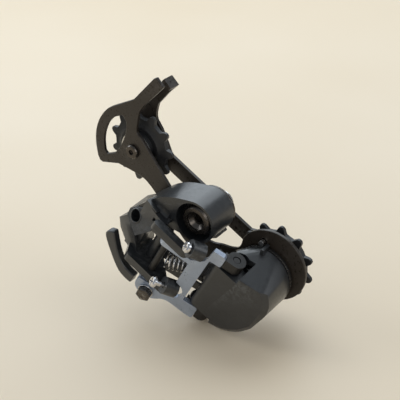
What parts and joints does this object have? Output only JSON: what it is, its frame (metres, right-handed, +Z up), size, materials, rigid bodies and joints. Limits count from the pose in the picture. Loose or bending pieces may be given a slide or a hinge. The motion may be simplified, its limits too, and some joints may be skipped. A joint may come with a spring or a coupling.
{
  "type": "rear bicycle derailleur",
  "caption": "Long-cage rear derailleur: hanger bolt, slanted sprung parallelogram, limit screws, sprung cage with two toothed pulleys.",
  "frame": {"origin": "centre of the bounding box's footprint, on the surface that the object rests on", "axes": "+Y inward along the mounting bolt, towards the wheel; +X forward; +Z up in the resting pose"},
  "size_m": [0.1444, 0.0604, 0.128],
  "materials": {
    "composite": "glossy black glass-filled nylon",
    "pulley_plastic": "satin black moulded plastic",
    "cage_paint": "satin black painted steel plate",
    "link_silver": "satin silver cast aluminium",
    "black_steel": "blackened steel fasteners",
    "bright_steel": "bright zinc plated steel",
    "chrome": "chrome plated screws",
    "sleeve_bronze": "sintered bronze sleeves",
    "seal_rubber": "black rubber seal"
  },
  "bodies": {
    "upper_knuckle": {"b_knuckle": "composite", "hanger_stop_plate": "black_steel", "upper_pivot_pin_outer": "black_steel", "upper_pivot_pin_inner": "black_steel"},
    "mounting_bolt": {"mounting_bolt": "black_steel", "bolt_circlip": "bright_steel"},
    "b_tension_screw": {"b_tension_screw": "black_steel"},
    "limit_screw_low": {"limit_screw_low": "chrome"},
    "limit_screw_high": {"limit_screw_high": "chrome"},
    "outer_link": {"outer_link": "link_silver", "cable_guide": "composite", "pinch_washer": "bright_steel", "lower_hinge_boss_top": "composite", "lower_hinge_boss_bottom": "composite"},
    "pinch_bolt": {"pinch_bolt": "black_steel"},
    "inner_link": {"inner_link": "composite"},
    "return_spring": {"return_spring": "bright_steel"},
    "lower_knuckle": {"p_knuckle": "composite", "lower_pivot_pin_outer": "bright_steel", "lower_pivot_pin_inner": "bright_steel", "cage_spring": "bright_steel", "cage_seal_ring": "seal_rubber"},
    "cage": {"cage_pivot_axle": "bright_steel", "cage_stop_pin": "bright_steel", "outer_cage_plate": "cage_paint", "inner_cage_plate": "cage_paint", "guide_pulley_bolt": "black_steel", "guide_pulley_bushing": "sleeve_bronze", "guide_pulley_dust_cover_outer": "bright_steel", "guide_pulley_dust_cover_inner": "bright_steel", "tension_pulley_bolt": "black_steel", "tension_pulley_bushing": "sleeve_bronze", "tension_pulley_dust_cover_outer": "bright_steel", "tension_pulley_dust_cover_inner": "bright_steel"},
    "guide_pulley": {"guide_pulley": "pulley_plastic"},
    "tension_pulley": {"tension_pulley": "pulley_plastic"}
  },
  "joints": [
    {"name": "mounting_bolt_turn", "type": "hinge", "parent": "upper_knuckle", "child": "mounting_bolt", "pos_m": [0.01528, 0, 0.06261], "axis": [0, 1, 0], "continuous": true},
    {"name": "b_tension_screw_turn", "type": "hinge", "parent": "upper_knuckle", "child": "b_tension_screw", "pos_m": [0, 0.00068, 0.04681], "axis": [1, 0, 0], "continuous": true},
    {"name": "limit_screw_low_turn", "type": "hinge", "parent": "upper_knuckle", "child": "limit_screw_low", "pos_m": [0.01982, -0.02522, 0.05666], "axis": [-0.5389, -0.662, 0.5209], "continuous": true},
    {"name": "limit_screw_high_turn", "type": "hinge", "parent": "upper_knuckle", "child": "limit_screw_high", "pos_m": [-0.00103, -0.02826, 0.02795], "axis": [-0.5389, -0.662, 0.5209], "continuous": true},
    {"name": "link_swing", "type": "hinge", "parent": "upper_knuckle", "child": "outer_link", "pos_m": [0.00759, -0.01882, 0.05751], "axis": [0.4772, 0, 0.8788], "range_deg": [0, 24], "stiffness_Nm_per_rad": 0.6, "springref_deg": -20.05},
    {"name": "inner_link_swing", "type": "hinge", "parent": "upper_knuckle", "child": "inner_link", "pos_m": [0.00188, -0.01082, 0.06062], "axis": [0.4772, 0, 0.8788], "range_deg": [0, 24]},
    {"name": "return_spring_swing", "type": "hinge", "parent": "upper_knuckle", "child": "return_spring", "pos_m": [0.00759, -0.01882, 0.05751], "axis": [0.4772, 0, 0.8788], "range_deg": [0, 24]},
    {"name": "lower_knuckle_swing", "type": "hinge", "parent": "outer_link", "child": "lower_knuckle", "pos_m": [0.03835, -0.00932, 0.04081], "axis": [0.4772, 0, 0.8788], "range_deg": [-24, 0]},
    {"name": "pinch_bolt_turn", "type": "hinge", "parent": "outer_link", "child": "pinch_bolt", "pos_m": [-0.01086, -0.0178, 0.01564], "axis": [-0.2302, 0.9651, 0.125], "continuous": true},
    {"name": "cage_swing", "type": "hinge", "parent": "lower_knuckle", "child": "cage", "pos_m": [0.04727, 0, 0.03011], "axis": [0, -1, 0], "range_deg": [0, 110], "stiffness_Nm_per_rad": 0.12, "springref_deg": -85.94},
    {"name": "guide_pulley_spin", "type": "hinge", "parent": "cage", "child": "guide_pulley", "pos_m": [0.04977, 0.02018, 0.03461], "axis": [0, 1, 0], "continuous": true},
    {"name": "tension_pulley_spin", "type": "hinge", "parent": "cage", "child": "tension_pulley", "pos_m": [-0.04372, 0.02018, 0.07861], "axis": [0, 1, 0], "continuous": true}
  ],
  "couplings": [
    {"joint": "inner_link_swing", "follows": "link_swing", "ratio": 1},
    {"joint": "return_spring_swing", "follows": "link_swing", "ratio": 0.96},
    {"joint": "lower_knuckle_swing", "follows": "link_swing", "ratio": -1}
  ]
}
